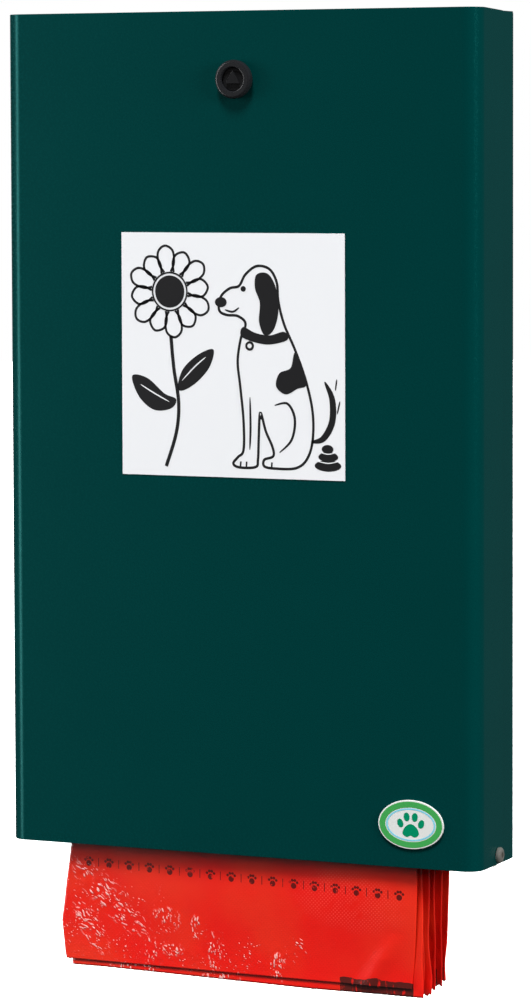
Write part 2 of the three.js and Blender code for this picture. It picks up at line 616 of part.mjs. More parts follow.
const greenPaint = finish('#013b39', 0.38, 0.0);
const blackLacquer = finish('#101213', 0.42, 0.3);
const stainless = finish('#a9a8a3', 0.3, 1.0);
const brightSteel = finish('#b4b6b8', 0.28, 1.0);
const zinc = finish('#9a9c9b', 0.4, 1.0);
const nylon = finish('#e6e3da', 0.6, 0.0);
const rubber = finish('#151515', 0.85, 0.0);
const paperWhite = finish('#eff0f2', 0.45, 0.0);
const badgeGreen = finish('#2f8a4a', 0.3, 0.0);
const cardBrown = finish('#a98a63', 0.9, 0.0);
const redFilm = finish('#e0271e', 0.3, 0.0);

const dispenser = new THREE.Group();
addPiece(dispenser, 'back_tray', makeTray(), greenPaint);
addPiece(dispenser, 'front_cover', makeCover(), greenPaint);
for (const [name, side] of [['left', -1], ['right', 1]]) {
  addPivot(dispenser, name, side);
}
addLock(dispenser);
addStickers(dispenser);
addHooks(dispenser);
for (let number = 1; number <= PACK_COUNT; number += 1) {
  addPack(dispenser, number);
}
addFrontBag(dispenser);

export default dispenser;
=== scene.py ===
"""Finishes a packed wall dispenser for dog waste bags.

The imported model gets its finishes. Film bags take the place of its six film solids, and the line
art on the label and the print on the badge are added. Lengths are in metres unless a comment says
millimetres.
"""

import math

import bmesh
import bpy
import numpy as np
from bpy.props import FloatProperty, FloatVectorProperty, PointerProperty
from mathutils import Matrix, Vector
from mathutils.geometry import tessellate_polygon


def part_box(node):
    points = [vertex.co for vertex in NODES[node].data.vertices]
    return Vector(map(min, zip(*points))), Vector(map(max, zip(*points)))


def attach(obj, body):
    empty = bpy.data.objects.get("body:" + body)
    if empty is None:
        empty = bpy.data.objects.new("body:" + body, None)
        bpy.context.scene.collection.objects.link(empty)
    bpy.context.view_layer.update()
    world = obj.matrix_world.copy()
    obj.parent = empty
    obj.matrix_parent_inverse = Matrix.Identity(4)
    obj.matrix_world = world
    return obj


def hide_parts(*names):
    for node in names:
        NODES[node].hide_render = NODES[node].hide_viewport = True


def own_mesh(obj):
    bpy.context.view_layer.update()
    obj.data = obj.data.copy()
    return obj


bl_info = {
    "name": "Bag Dispenser Finisher",
    "version": (1, 0, 0),
    "blender": (4, 5, 0),
    "location": "View3D > Sidebar > Dispenser",
    "description": "Finishes, film bags and printed labels for a packed wall dispenser",
    "category": "Object",
}

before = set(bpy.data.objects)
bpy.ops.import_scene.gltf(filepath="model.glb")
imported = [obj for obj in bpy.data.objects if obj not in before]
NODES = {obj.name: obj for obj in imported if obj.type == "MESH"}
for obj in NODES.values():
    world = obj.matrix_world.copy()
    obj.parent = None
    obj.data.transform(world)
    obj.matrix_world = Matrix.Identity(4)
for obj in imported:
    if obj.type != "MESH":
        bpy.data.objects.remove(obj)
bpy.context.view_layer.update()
MM = 0.001
PACKS = (1, 2, 3, 4, 5)
FRONT_PACK = PACKS[-1]
CASE_BOTTOM = -225  # in mm
SENSOR = 36  # width of the camera's sensor in mm
FLOOR_RADIUS = 14
FLOOR_SIDES = 96
LINE_STEPS = 8  # steps between two given points of a smooth line
ROUNDED_ABOVE = math.radians(32)  # edges that turn by more than this are rounded
EMBOSS_PITCH = 2.1 * MM
PAW_INK = (0.045, 0.004, 0.004)
PATCH_INK = (0.030, 0.008, 0.006)
PALE_DOT_FILM = (0.80, 0.13, 0.10)
# painted highlight: the pale colour painted on small creases where they would catch the light
PAINTED_GLINT = (0.98, 0.60, 0.55)
# the dog is this much narrower, and stands so many mm further right, than its points say
DOG_WIDTH = 0.93
DOG_SHIFT = 6.0
# crinkled areas of the front bag: centre x and z, half width, half height in mm, and turn
CRINKLED = (
    (-86, -250, 27, 8, -0.72),
    (-97, -268, 8, 14, 0.45),
    (-93, -283, 10, 8, -0.5),
    (-42, -285, 34, 9, 0.0),
    (4, -286, 14, 9, 0.0),
    (22, -280, 9, 7, -0.8),
)
# where a pale highlight is painted on its small creases, given in the same way: slanting, upright and
# scattered
SLANTING = (
    (-80, -254, 30, 8.5, -0.70),
    (-91, -272, 17, 6.5, -1.0),
    (34, -272, 6, 3, -0.6),
)
UPRIGHT = (
    (-55, -281, 4, 8, 0.0),
    (-42, -280, 7, 4, 0.0),
    (-17, -279, 4, 11, 0.0),
    (-28, -267, 3, 7, 0.0),
    (-46, -264, 9, 7, 0.0),
    (20, -285, 4.5, 9, 0.0),
    (-66, -292.5, 16, 3, 0.0),
    (-14, -294, 12, 3, 0.0),
)
SCATTERED = (
    (-80, -262, 36, 28, 0.0),
    (-25, -280, 56, 12, 0.0),
)
# where its embossed dots are paler, given in the same way
PALE_DOT_AREA = (62, -246, 34, 17, -0.15)


# --- settings


class DispenserStage(bpy.types.PropertyGroup):
    """Camera, floor and lights."""

    lens: FloatProperty(name="Lens", description="Focal length on a 36 mm sensor, in mm", default=149.466)
    distance: FloatProperty(
        name="Distance", description="From the camera to its target", default=2.23334, unit="LENGTH"
    )
    yaw: FloatProperty(
        name="Yaw", description="Camera's turn towards the right side",
        default=math.radians(24.1077), subtype="ANGLE",
    )
    pitch: FloatProperty(
        name="Pitch", description="How far the camera looks down",
        default=math.radians(4.9445), subtype="ANGLE",
    )
    roll: FloatProperty(
        name="Roll", description="Camera's lean", default=math.radians(-0.1868), subtype="ANGLE"
    )
    fall: FloatProperty(
        name="Lens fall", default=0.10, min=0, max=0.3,
        description="Share of the frame's height by which the lens is lowered, to keep uprights upright",
    )
    target: FloatVectorProperty(
        name="Target", description="Point in the middle of the camera's frame",
        default=(0.0039542, -0.030, -0.0364785), subtype="XYZ_LENGTH",
    )
    floor_height: FloatProperty(
        name="Floor height", description="Height of the floor", default=-0.70, unit="LENGTH"
    )
    key_strength: FloatProperty(
        name="Key light", description="Strength of the even light from high in front", default=5.5
    )
    key_height: FloatProperty(
        name="Key height", description="Angle of the key light above the horizon",
        default=math.radians(66), subtype="ANGLE",
    )
    key_softness: FloatProperty(
        name="Key softness", description="Width of the key light as the object sees it",
        default=math.radians(17), subtype="ANGLE",
    )
    side_power: FloatProperty(
        name="Side light", description="Power of the light on the right side", default=43.0, unit="POWER"
    )
    left_power: FloatProperty(
        name="Left light", description="Power of the light on the left side", default=31.0, unit="POWER"
    )
    glint_power: FloatProperty(
        name="Tall light", description="Power of the tall soft light on the left", default=16.5, unit="POWER"
    )
    rear_strength: FloatProperty(
        name="Rear light", description="Strength of the even light from behind", default=1.8
    )
    ambient: FloatProperty(
        name="Ambient", description="Brightness of the room round the object", default=0.055
    )


class DispenserPaint(bpy.types.PropertyGroup):
    """Powder coat on the casing."""

    colour: FloatVectorProperty(
        name="Paint", description="Colour of the powder coat", subtype="COLOR",
        default=(0.0, 0.0292, 0.0281), min=0, max=1,
    )
    gloss_tint: FloatVectorProperty(
        name="Gloss tint", description="Colour of the coat's shine", subtype="COLOR",
        default=(0.09, 1.0, 0.94), min=0, max=1,
    )
    roughness: FloatProperty(
        name="Roughness", description="Roughness of the coat", default=0.27, min=0, max=1
    )
    edge_radius: FloatProperty(
        name="Edge", description="Rounding of cut sheet edges under the coat",
        default=0.30 * MM, unit="LENGTH",
    )


class DispenserBags(bpy.types.PropertyGroup):
    """Film bags."""

    film: FloatVectorProperty(
        name="Film", description="Colour of the film", subtype="COLOR",
        default=(0.72, 0.0070, 0.0035), min=0, max=1,
    )
    thickness: FloatProperty(
        name="Thickness", description="One bag laid flat", default=0.30 * MM, unit="LENGTH"
    )
    wave_depth: FloatProperty(
        name="Wave depth", description="Depth of the film's long waves", default=2.2 * MM, unit="LENGTH"
    )
    crinkle_depth: FloatProperty(
        name="Crinkle depth", description="Depth of the small creases", default=0.42 * MM, unit="LENGTH"
    )
    cut_pitch: FloatProperty(
        name="Cut pitch", description="Width of one tooth of the cut lower end",
        default=3.2 * MM, unit="LENGTH",
    )
    cut_depth: FloatProperty(
        name="Cut depth", description="Depth of one tooth of the cut lower end",
        default=1.6 * MM, unit="LENGTH",
    )
    open_share: FloatProperty(
        name="Pressed share", description="Share of the waves left when the cover is open",
        default=0.2, min=0.05, max=1,
    )


class DispenserPrint(bpy.types.PropertyGroup):
    """Label and badge print."""

    stroke: FloatProperty(
        name="Stroke", description="Width of the line art's strokes", default=1.4 * MM, unit="LENGTH"
    )
    ink_step: FloatProperty(
        name="Ink step", description="Height of one layer of print", default=0.06 * MM, unit="LENGTH"
    )


# --- shader maths


class Value:
    """A shader socket that does arithmetic. Each operator adds the Math node that it needs."""

    def __init__(self, finish, socket):
        self.finish = finish
        self.socket = socket

    def math(self, operation, *others):
        values = dict(enumerate((self, *others)))
        return self.finish.node("Math", {"operation": operation}, values)

    def __add__(self, other):
        return self.math("ADD", other)

    __radd__ = __add__

    def __sub__(self, other):
        return self.math("SUBTRACT", other)

    def __rsub__(self, other):
        return self.finish.node("Math", {"operation": "SUBTRACT"}, {0: other, 1: self})

    def __mul__(self, other):
        return self.math("MULTIPLY", other)

    def __truediv__(self, other):
        return self.math("DIVIDE", other)

    def __mod__(self, other):
        return self.math("FLOORED_MODULO", other)

    def below(self, limit):
        return self.math("LESS_THAN", limit)

    def above(self, limit):
        return self.math("GREATER_THAN", limit)

    def most(self, other):
        return self.math("MAXIMUM", other)

    def size(self):
        return self.math("ABSOLUTE")

    def ramp(self, start, end):
        """0 up to start and 1 from end, with a smooth rise between them."""
        settings = {"clamp": True, "interpolation_type": "SMOOTHSTEP"}
        return self.finish.node("MapRange", settings, {"Value": self, 1: start, 2: end})


class Finish:
    """One procedural material."""

    def __init__(self, name):
        self.material = bpy.data.materials.new(name)
        self.material.use_nodes = True
        self.tree = self.material.node_tree
        self.tree.nodes.clear()
        self.place = self.node("TexCoord", output="Object")

    def node(self, kind, settings=None, inputs=None, output=0):
        """Adds a node: its settings first, then its sockets' values or links."""
        made = self.tree.nodes.new("ShaderNode" + kind)
        for key, value in (settings or {}).items():
            setattr(made, key, value)
        for key, value in (inputs or {}).items():
            if isinstance(value, Value):
                self.tree.links.new(value.socket, made.inputs[key])
            else:
                made.inputs[key].default_value = value
        return Value(self, made.outputs[output])

    def noise(self, size, detail=2.0, roughness=0.5, stretch=None):
        """Noise from 0 to 1 whose features are about size across."""
        where = self.place
        if stretch is not None:
            where = self.node("VectorMath", {"operation": "MULTIPLY"}, {0: where, 1: stretch})
        values = {"Vector": where, "Scale": 1 / size, "Detail": detail, "Roughness": roughness}
        return self.node("TexNoise", None, values)

    def cells(self, size, where=None):
        """Distance to the nearest of scattered points about size apart."""
        values = {"Vector": where or self.place, "Scale": 1 / size}
        return self.node("TexVoronoi", {"feature": "F1"}, values)

    def axes(self):
        """The x, y and z of a point in the piece's own frame."""
        split = self.tree.nodes.new("ShaderNodeSeparateXYZ")
        self.tree.links.new(self.place.socket, split.inputs[0])
        return [Value(self, socket) for socket in split.outputs]

    def mix(self, factor, first, second):
        """first where factor is 0 and second where it is 1."""
        values = {0: factor, 6: rgba(first), 7: rgba(second)}
        return self.node("Mix", {"data_type": "RGBA"}, values, output=2)

    def bump(self, height, distance):
        values = {"Height": height, "Distance": distance, "Strength": 1.0}
        return self.node("Bump", None, values)

    def surface(self, **inputs):
        """The Principled shader and the material's output. Names use _ for a space."""
        values = {key.replace("_", " "): rgba(value) for key, value in inputs.items()}
        shader = self.node("BsdfPrincipled", None, values)
        end = self.tree.nodes.new("ShaderNodeOutputMaterial")
        self.tree.links.new(shader.socket, end.inputs["Surface"])
        return self.material


def rgba(value):
    """A colour of three numbers as four. Anything else stays as it is."""
    if isinstance(value, Value) or not hasattr(value, "__len__"):
        return value
    return (*value, 1.0)


# --- finishes


def powder_coat(paint):
    finish = Finish("green_powder_coat")
    cloud = finish.noise(60 * MM, 2)
    grain = finish.noise(1.4 * MM, 2)
    fine = finish.noise(0.35 * MM, 1)
    deep = [c * 0.94 for c in paint.colour]
    light = [c * 1.05 for c in paint.colour]
    return finish.surface(
        Base_Color=finish.mix(cloud, deep, light),
        Roughness=paint.roughness + (grain - 0.5) * 0.08,
        Normal=finish.bump(grain + fine * 0.25, 0.010 * MM),
        Specular_IOR_Level=0.30,
        Specular_Tint=tuple(paint.gloss_tint),
    )


def lacquer(name, colour, roughness, peel=0.012 * MM):
    finish = Finish(name)
    grain = finish.noise(0.9 * MM, 3)
    patch = finish.noise(6 * MM, 2)
    return finish.surface(
        Base_Color=finish.mix(patch, [c * 0.8 for c in colour], [c * 1.2 for c in colour]),
        Roughness=roughness + (grain - 0.5) * 0.12,
        Normal=finish.bump(grain, peel),
        Specular_IOR_Level=0.5,
    )


def bright_metal(name, colour, roughness, size, stretch, shine=0.85):
    """Metal whose fine lines run along the axes that stretch makes small."""
    finish = Finish(name)
    lines = finish.noise(size, 3, 0.6, stretch)
    cloud = finish.noise(3.5 * MM, 2)
    return finish.surface(
        Base_Color=finish.mix(cloud, [c * 0.82 for c in colour], colour),
        Metallic=shine,
        Roughness=roughness + (lines - 0.5) * 0.18,
        Normal=finish.bump(lines, 0.006 * MM),
    )


def zinc_plate():
    finish = Finish("zinc_plate")
    spangle = finish.cells(2.2 * MM)
    grain = finish.noise(0.5 * MM, 2)
    return finish.surface(
        Base_Color=finish.mix(spangle, (0.52, 0.53, 0.55), (0.66, 0.66, 0.64)),
        Metallic=0.8,
        Roughness=0.28 + grain * 0.14,
        Normal=finish.bump(grain, 0.008 * MM),
    )


def moulded(name, colour, roughness, size):
    finish = Finish(name)
    grain = finish.noise(size, 3)
    flow = finish.noise(5 * MM, 2)
    return finish.surface(
        Base_Color=finish.mix(flow, [c * 0.88 for c in colour], colour),
        Roughness=roughness + (grain - 0.5) * 0.15,
        Normal=finish.bump(grain, 0.015 * MM),
        Specular_IOR_Level=0.35,
    )


def card():
    finish = Finish("brown_card")
    fibre = finish.noise(0.8 * MM, 4, 0.65, (1.0, 1.0, 0.25))
    fleck = finish.noise(2.6 * MM, 3).ramp(0.62, 0.70)
    board = finish.mix(fibre, (0.31, 0.20, 0.105), (0.47, 0.32, 0.18))
    return finish.surface(
        Base_Color=finish.mix(fleck * 0.5, board, (0.20, 0.12, 0.06)),
        Roughness=0.78 + fibre * 0.15,
        Normal=finish.bump(fibre, 0.05 * MM),
        Specular_IOR_Level=0.25,
    )


def vinyl(name, colour, roughness):
    finish = Finish(name)
    tone = finish.noise(30 * MM, 2)
    grain = finish.noise(0.6 * MM, 2)
    return finish.surface(
        Base_Color=finish.mix(tone, [c * 0.985 for c in colour], colour),
        Roughness=roughness + (grain - 0.5) * 0.06,
        Normal=finish.bump(grain, 0.004 * MM),
        Specular_IOR_Level=0.15,
    )


def ink(name, colour, roughness=0.4):
    finish = Finish(name)
    grain = finish.noise(0.5 * MM, 2)
    return finish.surface(
        Base_Color=finish.mix(grain, [c * 0.85 for c in colour], [min(1, c * 1.1) for c in colour]),
        Roughness=roughness + (grain - 0.5) * 0.1,
        Normal=finish.bump(grain, 0.003 * MM),
        Specular_IOR_Level=0.2,
    )


def paw_row(x, z, top, slope, pitch, start, end):
    """1 inside a row of small paw marks with a thin bar between each two."""
    along = (x - start) % pitch
    u = along - pitch * 0.32
    v = z - top - (x - start) * slope
    spots = [(0, -1.0, 1.6), (-2.1, 0.9, 0.75), (-0.75, 1.95, 0.8), (0.75, 1.95, 0.8), (2.1, 0.9, 0.75)]
    mark = None
    for spot_x, spot_z, radius in spots:
        across = u - spot_x * MM
        up = v - spot_z * MM
        inside = (across * across + up * up).below((radius * MM) ** 2)
        mark = inside if mark is None else mark.most(inside)
    bar = (along - pitch * 0.80).size().below(0.24 * MM) * v.size().below(2.3 * MM)
    row = x.above(start) * x.below(end)
    return mark.most(bar) * row


def area(x, z, spot):
    """1 in the middle of an oval area, down to 0 a little outside it. Sizes are in millimetres."""
    middle_x, middle_z, wide, high, turn = spot
    dx = x / MM - middle_x
    dz = z / MM - middle_z
    u = (dx * math.cos(turn) + dz * math.sin(turn)) * (1 / wide)
    v = (dz * math.cos(turn) - dx * math.sin(turn)) * (1 / high)
    return (1.3 - (u * u + v * v)).ramp(0.0, 1.0)


def areas(x, z, spots):
    """1 inside any of several oval areas."""
    found = None
    for spot in spots:
        here = area(x, z, spot)
        found = here if found is None else found.most(here)
    return found


def painted_glint_creases(finish, x, z, spots, size, run, stretch, share):
    """1 inside short thin creases that all run one way, in the areas that spots gives. Pale colour is painted
    on them as a highlight.

    A larger share shows more of them.
    """
    values = {"Vector": finish.place, "Scale": 1 / (7 * MM), "Detail": 1.0}
    wander = finish.node("TexNoise", None, values, output=1)
    values = {0: wander, 1: (5 * MM,) * 3, 2: finish.place}
    bent = finish.node("VectorMath", {"operation": "MULTIPLY_ADD"}, values)
    turned = finish.node("VectorRotate", {"rotation_type": "Y_AXIS"}, {"Vector": bent, "Angle": run})
    values = {0: turned, 1: (1 / stretch, 1.0, 1.0)}
    drawn = finish.node("VectorMath", {"operation": "MULTIPLY"}, values)
    return (share - finish.cells(size, drawn)).ramp(0.0, 0.10) * areas(x, z, spots)


def bag_film(bags, name, print_and_painted_glints):
    """Glossy embossed film with a dark patch in its lower right corner.

    The kind with print also has a row of paw marks, and a painted highlight: pale colour painted on the
    creases where its lower end is crinkled.
    """
    finish = Finish(name)
    x, _, z = finish.axes()
    colour = list(bags.film)
    warm = (colour[0], colour[1] + 0.016, colour[2] + 0.004)
    skin = finish.mix(finish.noise(45 * MM, 2).ramp(0.35, 0.7), colour, warm)
    across = (x * (math.tau / EMBOSS_PITCH)).math("SINE")
    upward = (z * (math.tau / EMBOSS_PITCH)).math("SINE")
    raised = (across * upward).ramp(0.15, 0.7)
    fine = finish.noise(1.5 * MM, 3)
    height = fine * 0.5 + raised * 0.2
    roughness = 0.17 + fine * 0.08
    if print_and_painted_glints:
        # a paler red on the raised embossed dots within one oval area
        paler_dots = area(x, z, PALE_DOT_AREA) * finish.noise(9 * MM, 2).ramp(0.30, 0.55)
        skin = finish.mix(raised * paler_dots * 0.30, skin, PALE_DOT_FILM)
        worn = finish.noise(2.4 * MM, 2).ramp(0.24, 0.42)
        row = paw_row(x, z, top=-235.2 * MM, slope=-0.0315, pitch=12.2 * MM, start=-96 * MM, end=94 * MM)
        skin = finish.mix(row * worn * 0.9, skin, PAW_INK)
        broken = finish.noise(4.5 * MM, 2).ramp(0.40, 0.56)
        slanting = painted_glint_creases(finish, x, z, SLANTING, 1.2 * MM, run=-0.62, stretch=4.6, share=0.42) * broken
        upright = painted_glint_creases(finish, x, z, UPRIGHT, 1.25 * MM, run=-1.35, stretch=2.8, share=0.44) * broken
        sparse = finish.noise(7 * MM, 2).ramp(0.46, 0.60)
        dots = painted_glint_creases(finish, x, z, SCATTERED, 1.6 * MM, run=-0.5, stretch=1.5, share=0.25) * sparse
        # painted highlight: pale colour painted into the base colour on these crease strokes, which also
        # raise the bump and lower the roughness
        creases_and_painted_glints = slanting.most(upright).most(dots * 0.8)
        skin = finish.mix(creases_and_painted_glints * 0.74, skin, PAINTED_GLINT)
        height = height + creases_and_painted_glints * 3.0
        roughness = roughness - creases_and_painted_glints * 0.10
    ragged = z + finish.noise(9 * MM, 2) * 5 * MM
    patch = x.above(56 * MM) * x.below(98 * MM) * ragged.below(-284.6 * MM)
    streak = finish.noise(2.2 * MM, 3, 0.6, (1.0, 1.0, 0.4)).ramp(0.26, 0.44)
    return finish.surface(
        Base_Color=finish.mix(patch * streak * 0.92, skin, PATCH_INK),
        Roughness=roughness,
        Normal=finish.bump(height, 0.12 * MM),
        Specular_IOR_Level=0.9,
        Coat_Weight=0.4,
        Coat_Roughness=0.08,
    )


# --- mesh helpers


def placed(name, data):
    """A new object in the scene."""
    made = bpy.data.objects.new(name, data)
    bpy.context.scene.collection.objects.link(made)
    return made


def mesh_piece(name, vertices, faces, materials, body, face_inks=None):
    """A new piece that rides on a body and takes its finish from a slot."""
    mesh = bpy.data.meshes.new(name)
    mesh.from_pydata([tuple(v) for v in vertices], [], [tuple(f) for f in faces])
    for material in materials:
        mesh.materials.append(material)
    if face_inks is not None:
        mesh.polygons.foreach_set("material_index", face_inks)
    piece = placed(name, mesh)
    work = bmesh.new()
    work.from_mesh(mesh)
    bmesh.ops.recalc_face_normals(work, faces=work.faces)
    work.to_mesh(mesh)
    work.free()
    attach(piece, body)
    return piece


def dress(node, material, edge=0.0):
    """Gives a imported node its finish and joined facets, and rounded edges if edge isn't 0."""
    piece = NODES[node]
    if not piece.data.materials:
        piece.data.materials.append(material)
    for holder in piece.material_slots:
        holder.material = material
    piece.data.polygons.foreach_set("use_smooth", [True] * len(piece.data.polygons))
    weld = piece.modifiers.new("join_facets", "WELD")
    weld.merge_threshold = 0.01 * MM
    if edge > 0:
        flat = piece.modifiers.new("flat_faces", "DECIMATE")
        flat.decimate_type = "DISSOLVE"
        flat.angle_limit = math.radians(0.5)
        bevel = piece.modifiers.new("edge_rounding", "BEVEL")
        bevel.width = edge
        bevel.segments = 2
        bevel.limit_method = "ANGLE"
        bevel.angle_limit = ROUNDED_ABOVE
        bevel.use_clamp_overlap = True
        bevel.harden_normals = True
    even = piece.modifiers.new("even_shading", "WEIGHTED_NORMAL")
    even.keep_sharp = True
    even.weight = 80
    return piece


def smooth_line(points, closed=False):
    """A smooth line through the points, as a list of points."""
    spots = np.array(points, float)
    count = len(spots)
    last = count if closed else count - 1
    line = []
    for i in range(last):
        near = np.arange(i - 1, i + 3)
        near = near % count if closed else np.clip(near, 0, count - 1)
        before, here, there, after = spots[near]
        for step in range(LINE_STEPS):
            t = step / LINE_STEPS
            bend = 2 * here + (there - before) * t
            bend = bend + (2 * before - 5 * here + 4 * there - after) * t * t
            bend = bend + (3 * here - before - 3 * there + after) * t * t * t
            line.append(bend / 2)
    if not closed:
        line.append(spots[-1])
    return np.array(line)


def sides_of(line, widths, closed):
    """The two sides of a stroke along a line."""
    ahead = np.roll(line, -1, 0)
    behind = np.roll(line, 1, 0)
    if not closed:
        ahead[-1] = line[-1]
        behind[0] = line[0]
    run = ahead - behind
    run = run / np.maximum(np.linalg.norm(run, axis=1), 1e-9)[:, None]
    out = np.stack([-run[:, 1], run[:, 0]], 1) * widths[:, None] / 2
    return line + out, line - out


class Print:
    """Flat printed shapes on a face that looks along -Y, in millimetres from its centre."""

    def __init__(self, low, high, step):
        self.centre = ((low.x + high.x) / 2, (low.z + high.z) / 2)
        self.face_y = low.y
        self.step = step
        self.vertices = []
        self.faces = []
        self.inks = []

    def shape(self, loops, layer, colour):
        """One filled shape: an outline, and the holes in it."""
        top = self.face_y - (layer + 1) * self.step
        base = self.face_y + self.step / 2
        start = len(self.vertices)
        flat = [point for loop in loops for point in loop]
        for depth in (top, base):
            for px, pz in flat:
                spot = (self.centre[0] + px * MM, depth, self.centre[1] + pz * MM)
                self.vertices.append(spot)
        whole = [[Vector((px, pz, 0)) for px, pz in loop] for loop in loops]
        for corners in tessellate_polygon(whole):
            self.add([start + i for i in corners], colour)
            self.add([start + len(flat) + i for i in reversed(corners)], colour)
        first = start
        for loop in loops:
            for i in range(len(loop)):
                j = (i + 1) % len(loop)
                wall = [first + i, first + j, first + len(flat) + j, first + len(flat) + i]
                self.add(wall, colour)
            first += len(loop)

    def add(self, corners, colour):
        self.faces.append(corners)
        self.inks.append(colour)

    def fill(self, points, layer=0, colour=0):
        self.shape([smooth_line(points, True)], layer, colour)

    def stroke(self, points, width, layer=0, colour=0, closed=False, taper=0.0):
        line = smooth_line(points, closed)
        along = np.linspace(0, 1, len(line))
        widths = width * (1 - taper * (2 * np.abs(along - 0.5)) ** 3)
        left, right = sides_of(line, widths, closed)
        loops = [left, right[::-1]]
        self.shape(loops if closed else [np.concatenate(loops)], layer, colour)

    def disc(self, px, pz, wide, high=None, layer=0, colour=0, turn=0.0, sides=36):
        self.shape([oval(px, pz, wide, high or wide, turn, sides)], layer, colour)

    def ring(self, px, pz, outer, inner, layer, colour, sides=36):
        """The band between two ovals, each given by its two half sizes."""
        hole = oval(px, pz, *inner, 0, sides)[::-1]
        self.shape([oval(px, pz, *outer, 0, sides), hole], layer, colour)

    def piece(self, name, materials, body, slot):
        return mesh_piece(name, self.vertices, self.faces, materials, body, self.inks)


def oval(px, pz, wide, high, turn=0.0, sides=36):
    """Points round an oval of half sizes wide and high."""
    angles = np.arange(sides) * math.tau / sides
    flat = np.stack([np.cos(angles) * wide, np.sin(angles) * high], 1)
    c, s = math.cos(turn), math.sin(turn)
    return flat @ np.array([[c, s], [-s, c]]) + (px, pz)


# --- film shapes


def smooth_noise(across, up, size, seed):
    """Smooth noise from 0 to 1 with bumps about size across, the same each run."""
    grid = np.random.RandomState(seed).rand(128, 128)
    turn = seed * 0.7
    u = (across * math.cos(turn) + up * math.sin(turn)) / size + 40
    v = (up * math.cos(turn) - across * math.sin(turn)) / size + 40
    i = np.floor(u).astype(int)
    j = np.floor(v).astype(int)
    a = u - i
    b = v - j
    a = a * a * (3 - 2 * a)
    b = b * b * (3 - 2 * b)
    i, j, i2, j2 = i % 128, j % 128, (i + 1) % 128, (j + 1) % 128
    low = grid[i, j] * (1 - a) + grid[i2, j] * a
    high = grid[i, j2] * (1 - a) + grid[i2, j2] * a
    return low * (1 - b) + high * b


def creases(across, up, size, seed):
    """Sharp creases from 0 to 1, about size apart."""
    return 1 - np.abs(2 * smooth_noise(across, up, size, seed) - 1)


def spot_mask(across, up, x, z, wide, high, turn=0.0):
    """The same as area, for arrays of points."""
    dx = across / MM - x
    dz = up / MM - z
    u = (dx * math.cos(turn) + dz * math.sin(turn)) / wide
    v = (dz * math.cos(turn) - dx * math.sin(turn)) / high
    return np.clip(1.3 - (u * u + v * v), 0, 1)


def sinking(z, start, span):
    """0 down to the height start, then a rise to 1 over span, both in millimetres."""
    return np.clip((start * MM - z) / (span * MM), 0, 1)


def spread(edges, counts):
    """Numbers between each two edges, as many as counts says, both ends included."""
    runs = [np.linspace(a, b, n, endpoint=False) for a, b, n in zip(edges, edges[1:], counts)]
    return np.concatenate([*runs, [edges[-1]]])


def film_piece(name, plan, material, body):
    """One bag as a thin closed shell, from a plan of its columns, rows, outline, depth and thickness."""
    across, up = np.meshgrid(plan["columns"], plan["rows"])
    x, z = plan["outline"](across, up)
    front = plan["depth"](x, z)
    rows, columns = x.shape
    near = np.stack([x, front, z], -1).reshape(-1, 3)
    far = np.stack([x, front + plan["thickness"], z], -1).reshape(-1, 3)
    count = rows * columns
    ids = np.arange(count).reshape(rows, columns)
    cell = [ids[:-1, :-1], ids[:-1, 1:], ids[1:, 1:], ids[1:, :-1]]
    face = np.stack(cell, -1).reshape(-1, 4)
    rim = np.concatenate([ids[0, :], ids[1:, -1], ids[-1, -2::-1], ids[-2:0:-1, 0]])
    after = np.roll(rim, -1)
    wall = np.stack([rim, rim + count, after + count, after], 1)
    faces = np.concatenate([face, face[:, ::-1] + count, wall])
    piece = mesh_piece(name, np.concatenate([near, far]), faces.tolist(), [material], body)
    piece.data.polygons.foreach_set("use_smooth", [True] * len(piece.data.polygons))
    return piece


def cut_teeth(x, pitch, depth):
    """The zigzag of a cut end, from 0 to depth."""
    return depth * np.abs(2 * ((x / pitch) % 1) - 1)


def film_outline(half, top, end, bags, side_seed, lean, bulge, tooth):
    """Turns shares (-1 to 1 across, 0 to 1 down) into x and z with wavy sides and a cut end."""

    def outline(across, up):
        low = np.clip((up - 0.72) / 0.28, 0, 1)
        z_plain = top + (end - top) * up
        wave = (smooth_noise(across * 0 + side_seed, z_plain, 26 * MM, side_seed) - 0.5) * 2
        side = half + bulge * np.sin(low * math.pi * 0.75) * low + wave * 1.6 * MM * low
        x = across * side + lean * low
        tooth_here = cut_teeth(x, bags.cut_pitch, bags.cut_depth * tooth)
        sag = smooth_noise(x, z_plain * 0, 38 * MM, side_seed + 3) * 2.4 * MM * tooth
        rise = np.clip(-(x - 40 * MM) * 0.018, 0, 2.2 * MM)
        z = z_plain + (tooth_here + sag + rise) * np.clip((up - 0.93) / 0.07, 0, 1)
        return x, z

    return outline


# --- operators


class DISPENSER_OT_stage(bpy.types.Operator):
    """Camera, pale floor, soft lights and the pale room"""

    bl_idname = "dispenser.stage"
    bl_label = "Stage"

    def execute(self, context):
        stage = context.scene.dispenser_stage
        add_camera(stage)
        add_floor(stage)
        sun_light("key_light", (math.pi / 2 - stage.key_height, 0, 0), stage.key_strength, stage)
        sun_light("rear_light", (math.radians(-62), 0, math.radians(-22)), stage.rear_strength, stage)
        side = area_light(
            "side_light", (1.82, -0.48, 0.42), aim=(0.1, -0.03, -0.1), size=(0.6, 0.8), power=stage.side_power
        )
        side.visible_glossy = False
        left = area_light(
            "left_light", (-1.75, -0.60, 0.35), aim=(-0.1, -0.03, 0), size=(0.6, 0.9), power=stage.left_power
        )
        left.visible_glossy = False
        tall = area_light(
            "tall_light", (-1.35, -1.12, 0.25), aim=(0, -0.05, 0), size=(0.42, 1.7), power=stage.glint_power
        )
        tall.visible_diffuse = False
        add_room(stage)
        context.scene.view_settings.view_transform = "Standard"
        context.scene.view_settings.look = "None"
        return {"FINISHED"}


def facing(yaw, pitch):
    """The way a camera looks that is turned by yaw and tipped down by pitch."""
    level = Vector((-math.sin(yaw), math.cos(yaw), 0)) * math.cos(pitch)
    return level - Vector((0, 0, math.sin(pitch)))


